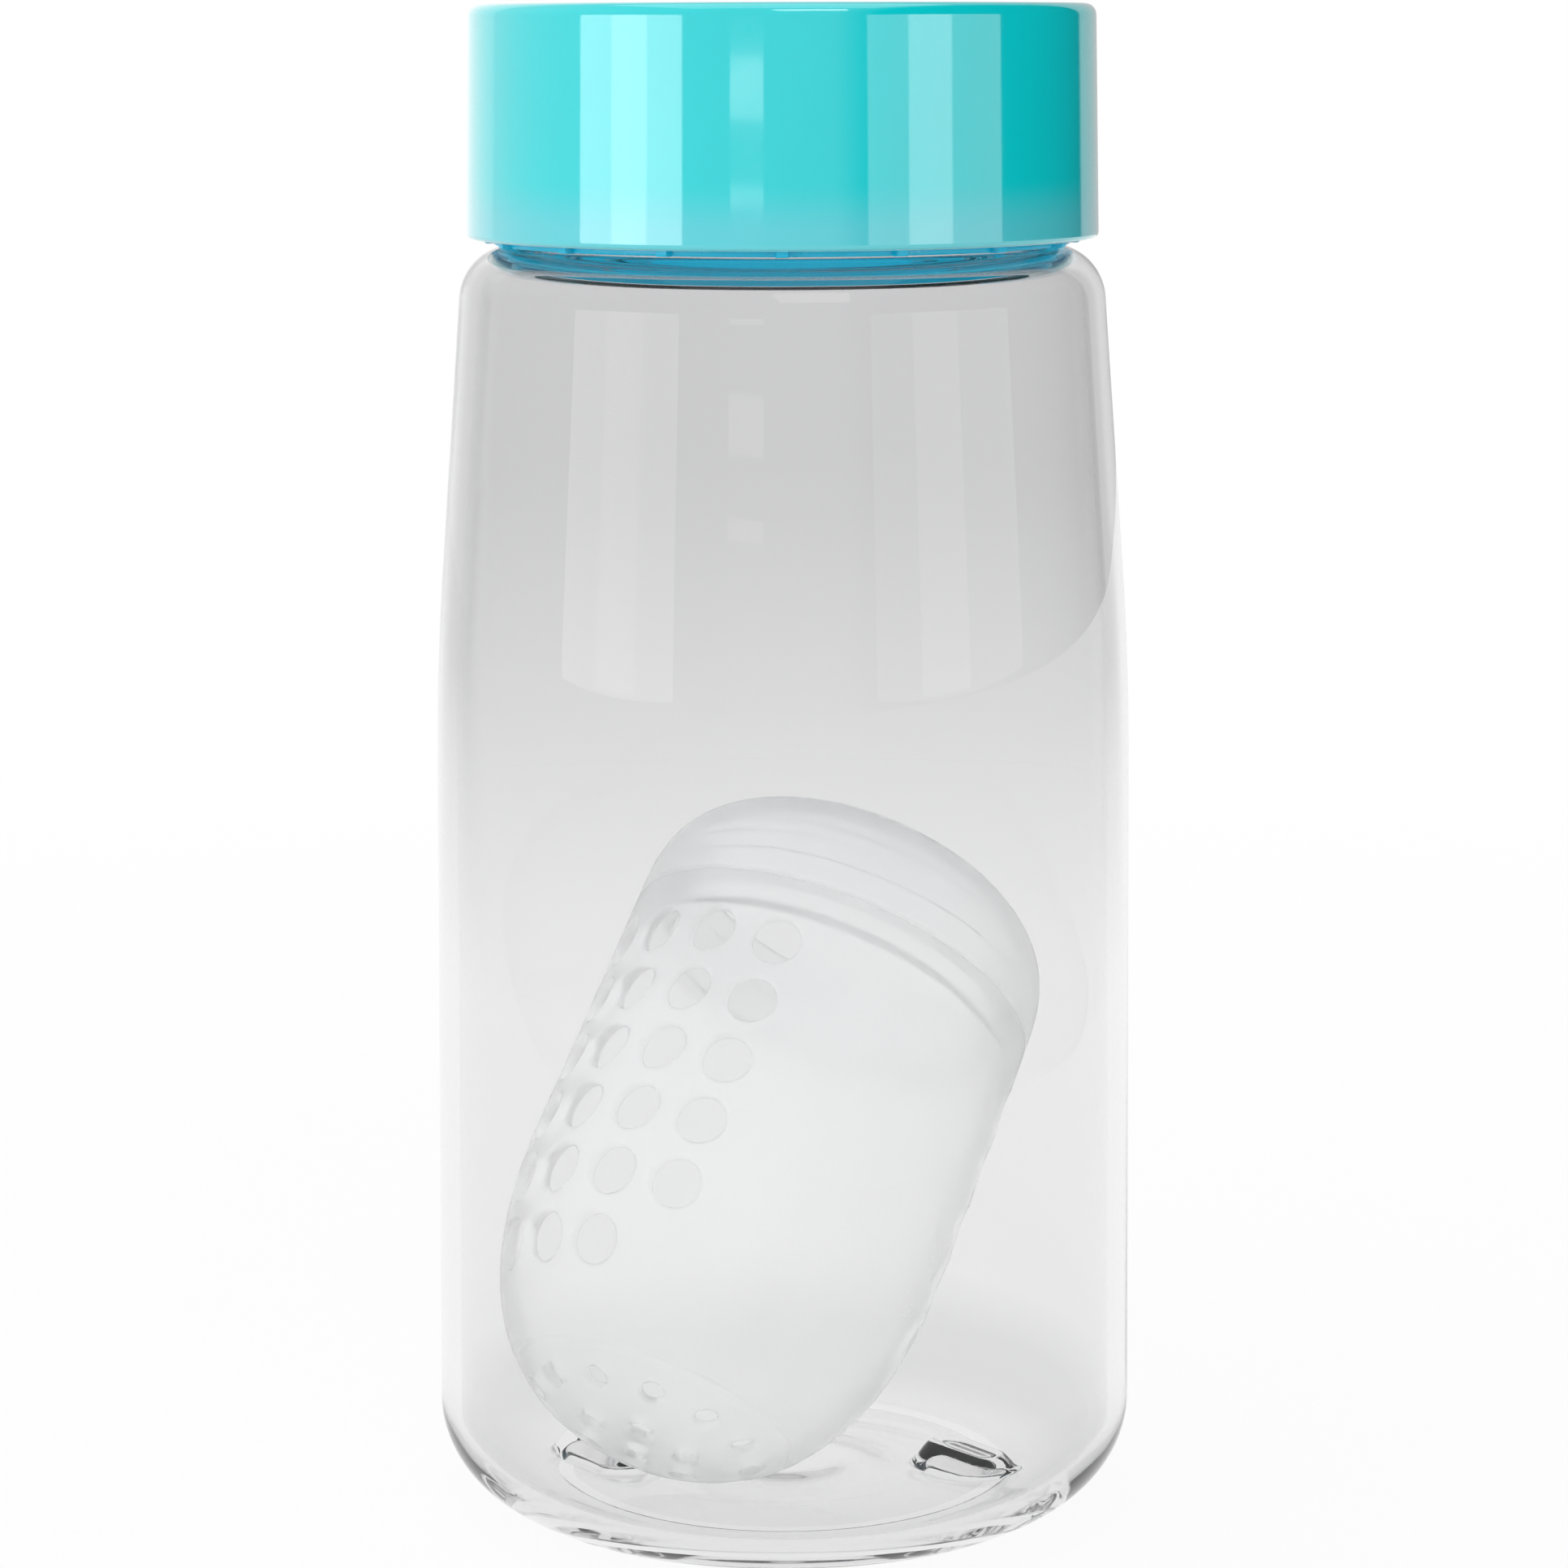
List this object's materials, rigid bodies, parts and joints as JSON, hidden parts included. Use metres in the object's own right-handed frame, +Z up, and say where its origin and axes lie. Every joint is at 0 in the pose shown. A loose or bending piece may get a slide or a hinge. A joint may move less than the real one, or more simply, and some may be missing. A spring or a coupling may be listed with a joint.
{
  "type": "infuser water bottle",
  "caption": "Clear tapered water bottle with a turquoise screw lid and a loose perforated infuser capsule with its own screw cap lying inside.",
  "frame": {"origin": "centre of the standing ring under the bottle, on the surface it stands on", "axes": "+Z up along the bottle's axis to the lid, -Y towards the viewer of the picture, +X to the viewer's right"},
  "size_m": [0.0776, 0.0776, 0.1658],
  "materials": {
    "clear_body": "clear, glossy moulded copolyester",
    "lid_shell_gloss": "opaque turquoise, high gloss",
    "lid_insert_plastic": "opaque turquoise, as moulded",
    "seal_silicone": "pale translucent silicone",
    "infuser_cup_frosted": "frosted, lightly see-through",
    "infuser_cap_frosted": "frosted, lightly see-through"
  },
  "bodies": {
    "bottle": {"bottle": "clear_body"},
    "lid_seal": {"lid_seal": "seal_silicone"},
    "lid": {"lid_shell": "lid_shell_gloss", "lid_insert": "lid_insert_plastic"},
    "infuser_cup": {"infuser_cup": "infuser_cup_frosted"},
    "infuser_cap": {"infuser_cap": "infuser_cap_frosted"}
  },
  "joints": [
    {"name": "lid_lift", "type": "slide", "parent": "bottle", "child": "lid_seal", "axis": [0, 0, 1], "range_m": [0, 0.024]},
    {"name": "lid_turn", "type": "hinge", "parent": "lid_seal", "child": "lid", "pos_m": [0, 0, 0.1614], "axis": [0, 0, 1], "range_deg": [0, 1080]},
    {"name": "infuser_float", "type": "slide", "parent": "bottle", "child": "infuser_cup", "axis": [0, 0, 1], "range_m": [0, 0.025]},
    {"name": "infuser_cap_turn", "type": "hinge", "parent": "infuser_cup", "child": "infuser_cap", "pos_m": [0.00519, 0.01172, 0.05593], "axis": [0.3516, 0.5737, 0.7397], "range_deg": [0, 450]}
  ],
  "couplings": [
    {"joint": "lid_lift", "follows": "lid_turn", "m_per_rad": 0.0012732}
  ]
}
